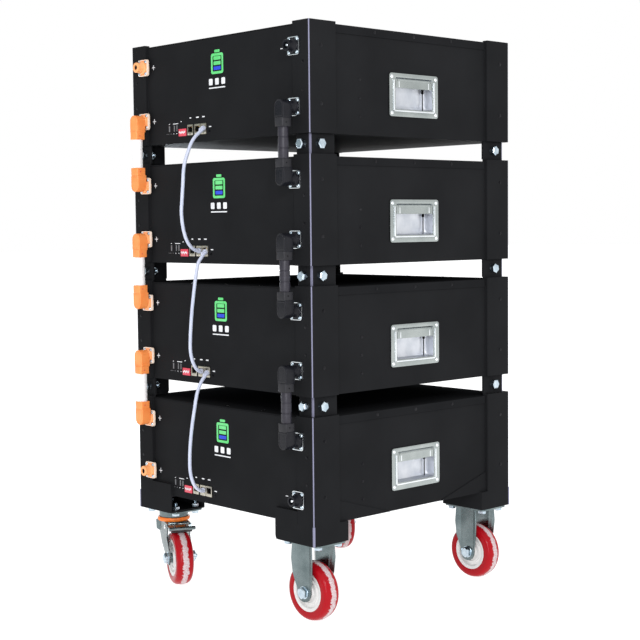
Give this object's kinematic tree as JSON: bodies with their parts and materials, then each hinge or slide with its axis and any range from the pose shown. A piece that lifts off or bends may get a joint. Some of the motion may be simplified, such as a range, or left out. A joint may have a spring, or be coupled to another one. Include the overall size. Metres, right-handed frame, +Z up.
{
  "type": "rolling stacked battery pack",
  "caption": "High-voltage battery rack: stacked sheet-metal battery modules bolted together with vent gaps, joined by power jumpers and signal leads, on casters.",
  "frame": {"origin": "on the floor under the middle of the outline without the signal leads", "axes": "+X along the front from left to right, +Y from front to rear, +Z up"},
  "size_m": [0.4844, 0.5404, 0.988],
  "materials": {
    "case_paint": "fine textured black powder coat",
    "cell_metal": "plain cell cans",
    "handle_zinc": "bright zinc plate",
    "positive_plastic": "orange moulding",
    "negative_plastic": "black moulding",
    "cable_jacket": "smooth pale jacket",
    "wheel_tread": "glossy red tread on a pale hub",
    "caster_zinc": "zinc-plated pressed steel",
    "seal_plastic": "orange moulding"
  },
  "bodies": {
    "rack": {"module_1_case": "case_paint", "module_1_lid": "case_paint", "module_1_cells": "cell_metal", "module_1_positive_terminals": "positive_plastic", "module_1_negative_terminals": "negative_plastic", "module_1_handle_left_frame": "handle_zinc", "module_1_handle_right_frame": "handle_zinc", "positive_jumper_1": "positive_plastic", "negative_jumper_1": "negative_plastic", "comm_cable_1": "cable_jacket", "module_2_case": "case_paint", "module_2_lid": "case_paint", "module_2_cells": "cell_metal", "module_2_positive_terminals": "positive_plastic", "module_2_negative_terminals": "negative_plastic", "module_2_handle_left_frame": "handle_zinc", "module_2_handle_right_frame": "handle_zinc", "positive_jumper_2": "positive_plastic", "negative_jumper_2": "negative_plastic", "comm_cable_2": "cable_jacket", "module_3_case": "case_paint", "module_3_lid": "case_paint", "module_3_cells": "cell_metal", "module_3_positive_terminals": "positive_plastic", "module_3_negative_terminals": "negative_plastic", "module_3_handle_left_frame": "handle_zinc", "module_3_handle_right_frame": "handle_zinc", "positive_jumper_3": "positive_plastic", "negative_jumper_3": "negative_plastic", "comm_cable_3": "cable_jacket", "module_4_case": "case_paint", "module_4_lid": "case_paint", "module_4_cells": "cell_metal", "module_4_positive_terminals": "positive_plastic", "module_4_negative_terminals": "negative_plastic", "module_4_handle_left_frame": "handle_zinc", "module_4_handle_right_frame": "handle_zinc", "front_right_fork": "caster_zinc", "front_left_swivel_plate": "caster_zinc", "front_left_seal_ring": "seal_plastic", "rear_right_fork": "caster_zinc", "rear_left_swivel_plate": "caster_zinc", "rear_left_seal_ring": "seal_plastic"},
    "module_1_left_bail": {"module_1_handle_left_bail": "handle_zinc"},
    "module_1_right_bail": {"module_1_handle_right_bail": "handle_zinc"},
    "module_2_left_bail": {"module_2_handle_left_bail": "handle_zinc"},
    "module_2_right_bail": {"module_2_handle_right_bail": "handle_zinc"},
    "module_3_left_bail": {"module_3_handle_left_bail": "handle_zinc"},
    "module_3_right_bail": {"module_3_handle_right_bail": "handle_zinc"},
    "module_4_left_bail": {"module_4_handle_left_bail": "handle_zinc"},
    "module_4_right_bail": {"module_4_handle_right_bail": "handle_zinc"},
    "front_right_wheel": {"front_right_wheel": "wheel_tread"},
    "front_left_fork": {"front_left_fork": "caster_zinc"},
    "front_left_wheel": {"front_left_wheel": "wheel_tread"},
    "front_left_brake_pedal": {"front_left_brake_pedal": "caster_zinc"},
    "rear_right_wheel": {"rear_right_wheel": "wheel_tread"},
    "rear_left_fork": {"rear_left_fork": "caster_zinc"},
    "rear_left_wheel": {"rear_left_wheel": "wheel_tread"},
    "rear_left_brake_pedal": {"rear_left_brake_pedal": "caster_zinc"}
  },
  "joints": [
    {"name": "module_1_left_bail_hinge", "type": "hinge", "parent": "rack", "child": "module_1_left_bail", "pos_m": [-0.23375, 0.01875, 0.904], "axis": [0, 1, 0], "range_deg": [0, 90]},
    {"name": "module_1_right_bail_hinge", "type": "hinge", "parent": "rack", "child": "module_1_right_bail", "pos_m": [0.23125, 0.01875, 0.904], "axis": [0, -1, 0], "range_deg": [0, 90]},
    {"name": "module_2_left_bail_hinge", "type": "hinge", "parent": "rack", "child": "module_2_left_bail", "pos_m": [-0.23375, 0.01875, 0.691], "axis": [0, 1, 0], "range_deg": [0, 90]},
    {"name": "module_2_right_bail_hinge", "type": "hinge", "parent": "rack", "child": "module_2_right_bail", "pos_m": [0.23125, 0.01875, 0.691], "axis": [0, -1, 0], "range_deg": [0, 90]},
    {"name": "module_3_left_bail_hinge", "type": "hinge", "parent": "rack", "child": "module_3_left_bail", "pos_m": [-0.23375, 0.01875, 0.478], "axis": [0, 1, 0], "range_deg": [0, 90]},
    {"name": "module_3_right_bail_hinge", "type": "hinge", "parent": "rack", "child": "module_3_right_bail", "pos_m": [0.23125, 0.01875, 0.478], "axis": [0, -1, 0], "range_deg": [0, 90]},
    {"name": "module_4_left_bail_hinge", "type": "hinge", "parent": "rack", "child": "module_4_left_bail", "pos_m": [-0.23375, 0.01875, 0.265], "axis": [0, 1, 0], "range_deg": [0, 90]},
    {"name": "module_4_right_bail_hinge", "type": "hinge", "parent": "rack", "child": "module_4_right_bail", "pos_m": [0.23125, 0.01875, 0.265], "axis": [0, -1, 0], "range_deg": [0, 90]},
    {"name": "front_right_wheel_spin", "type": "hinge", "parent": "rack", "child": "front_right_wheel", "pos_m": [0.19175, -0.18675, 0.0505], "axis": [0, 1, 0], "continuous": true},
    {"name": "front_left_swivel", "type": "hinge", "parent": "rack", "child": "front_left_fork", "pos_m": [-0.19425, -0.18675, 0.1142], "axis": [0, 0, 1], "continuous": true},
    {"name": "front_left_wheel_spin", "type": "hinge", "parent": "front_left_fork", "child": "front_left_wheel", "pos_m": [-0.15743, -0.20238, 0.0505], "axis": [0.3907, 0.9205, 0], "continuous": true},
    {"name": "front_left_brake_press", "type": "hinge", "parent": "front_left_fork", "child": "front_left_brake_pedal", "pos_m": [-0.16387, -0.19964, 0.107], "axis": [0.3907, 0.9205, 0], "range_deg": [0, 6]},
    {"name": "rear_right_wheel_spin", "type": "hinge", "parent": "rack", "child": "rear_right_wheel", "pos_m": [0.19175, 0.22425, 0.0505], "axis": [0, 1, 0], "continuous": true},
    {"name": "rear_left_swivel", "type": "hinge", "parent": "rack", "child": "rear_left_fork", "pos_m": [-0.19425, 0.22425, 0.1142], "axis": [0, 0, 1], "continuous": true},
    {"name": "rear_left_wheel_spin", "type": "hinge", "parent": "rear_left_fork", "child": "rear_left_wheel", "pos_m": [-0.15743, 0.20862, 0.0505], "axis": [0.3907, 0.9205, 0], "continuous": true},
    {"name": "rear_left_brake_press", "type": "hinge", "parent": "rear_left_fork", "child": "rear_left_brake_pedal", "pos_m": [-0.16387, 0.21136, 0.107], "axis": [0.3907, 0.9205, 0], "range_deg": [0, 6]}
  ]
}
